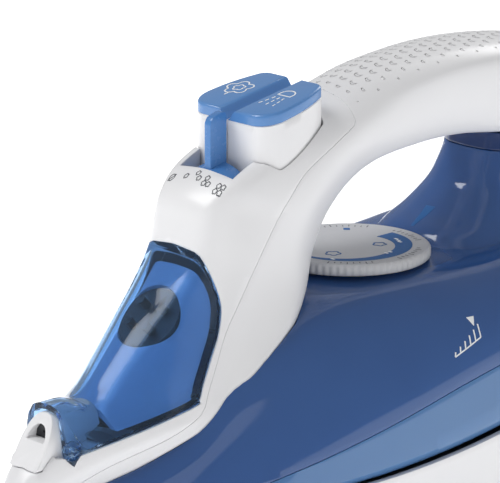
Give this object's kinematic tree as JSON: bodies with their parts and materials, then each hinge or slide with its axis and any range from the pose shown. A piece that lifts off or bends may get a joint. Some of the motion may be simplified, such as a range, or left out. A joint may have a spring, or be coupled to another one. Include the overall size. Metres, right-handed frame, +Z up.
{
  "type": "steam iron",
  "caption": "Steam iron with a bridged handle, translucent water tank, hinged filler cap, spray and steam buttons, steam lever, temperature dial and swivelling cord gland.",
  "frame": {"origin": "centre of the footprint on the plane of the sole face", "axes": "+Z up from the sole, -Y towards the nose, +X to the side of the spray button"},
  "size_m": [0.118, 0.285, 0.1458],
  "materials": {
    "steel": "polished",
    "cast_aluminium": "cast",
    "white_plastic": "satin gloss",
    "navy_plastic": "gloss",
    "tank_blue": "translucent gloss",
    "band_blue": "translucent gloss",
    "cap_blue": "transparent gloss",
    "control_blue": "gloss",
    "grey_plastic": "satin",
    "dark_plastic": "satin",
    "rubber": "matte",
    "amber_lens": "clear gloss"
  },
  "bodies": {
    "iron_body": {"soleplate": "steel", "heating_element": "steel", "sole_screws": "steel", "handle_screws": "steel", "rear_screws": "steel", "cap_hinge_pin": "steel", "lever_pin": "steel", "needle_seat": "steel", "spray_spring": "steel", "steam_spring": "steel", "thermostat": "steel", "thermal_fuse": "steel", "heater_casting": "cast_aluminium", "steam_chamber_cover": "cast_aluminium", "heat_skirt": "white_plastic", "handle_body": "white_plastic", "front_cover": "white_plastic", "handle_underside": "white_plastic", "nozzle_housing": "white_plastic", "terminal_block": "white_plastic", "rear_base": "navy_plastic", "rear_bridge": "navy_plastic", "rear_cover": "navy_plastic", "tank_shell": "tank_blue", "shaft_well": "tank_blue", "filler_neck": "tank_blue", "filler_tray": "tank_blue", "tank_lower_band": "band_blue", "lever_bracket": "grey_plastic", "spray_pump": "grey_plastic", "steam_pump": "grey_plastic", "spray_nozzle": "dark_plastic", "gland_collar": "dark_plastic", "heel_pads": "rubber", "spray_hose": "rubber", "steam_tube": "rubber", "inner_wires": "rubber", "pilot_lens": "amber_lens"},
    "filler_cap": {"filler_cap": "cap_blue", "filler_plug": "dark_plastic", "filler_plug_ring": "rubber"},
    "steam_lever": {"steam_lever": "control_blue"},
    "needle": {"needle_rod": "steel"},
    "spray_button": {"spray_button_body": "white_plastic", "spray_button_cap": "control_blue", "spray_plunger": "grey_plastic"},
    "steam_button": {"steam_button_body": "white_plastic", "steam_button_cap": "control_blue", "steam_plunger": "grey_plastic"},
    "dial": {"dial": "grey_plastic", "dial_shaft": "grey_plastic"},
    "gland": {"cord_gland": "dark_plastic"}
  },
  "joints": [
    {"name": "filler_cap_hinge", "type": "hinge", "parent": "iron_body", "child": "filler_cap", "pos_m": [0, -0.1115, 0.0403], "axis": [1, 0, 0], "range_deg": [0, 55]},
    {"name": "steam_lever_rock", "type": "hinge", "parent": "iron_body", "child": "steam_lever", "pos_m": [0, -0.04214, 0.10402], "axis": [0, 0.9588, 0.284], "range_deg": [-22, 22]},
    {"name": "needle_lift", "type": "slide", "parent": "iron_body", "child": "needle", "axis": [0, 0, 1], "range_m": [-0.0016, 0.0016]},
    {"name": "spray_button_press", "type": "slide", "parent": "iron_body", "child": "spray_button", "axis": [0, 0, -1], "range_m": [0, 0.0035], "stiffness_N_per_m": 600, "springref_m": -0.003, "deforming": ["spray_spring"]},
    {"name": "steam_button_press", "type": "slide", "parent": "iron_body", "child": "steam_button", "axis": [0, 0, -1], "range_m": [0, 0.0035], "stiffness_N_per_m": 600, "springref_m": -0.003, "deforming": ["steam_spring"]},
    {"name": "dial_turn", "type": "hinge", "parent": "iron_body", "child": "dial", "pos_m": [0, 0.0163, 0.08], "axis": [0, 0, 1], "range_deg": [-120, 150]},
    {"name": "gland_swivel", "type": "hinge", "parent": "iron_body", "child": "gland", "pos_m": [0, 0.127, 0.121], "axis": [1, 0, 0], "range_deg": [-25, 15]}
  ],
  "couplings": [
    {"joint": "needle_lift", "follows": "steam_lever_rock", "m_per_rad": 0.004}
  ]
}
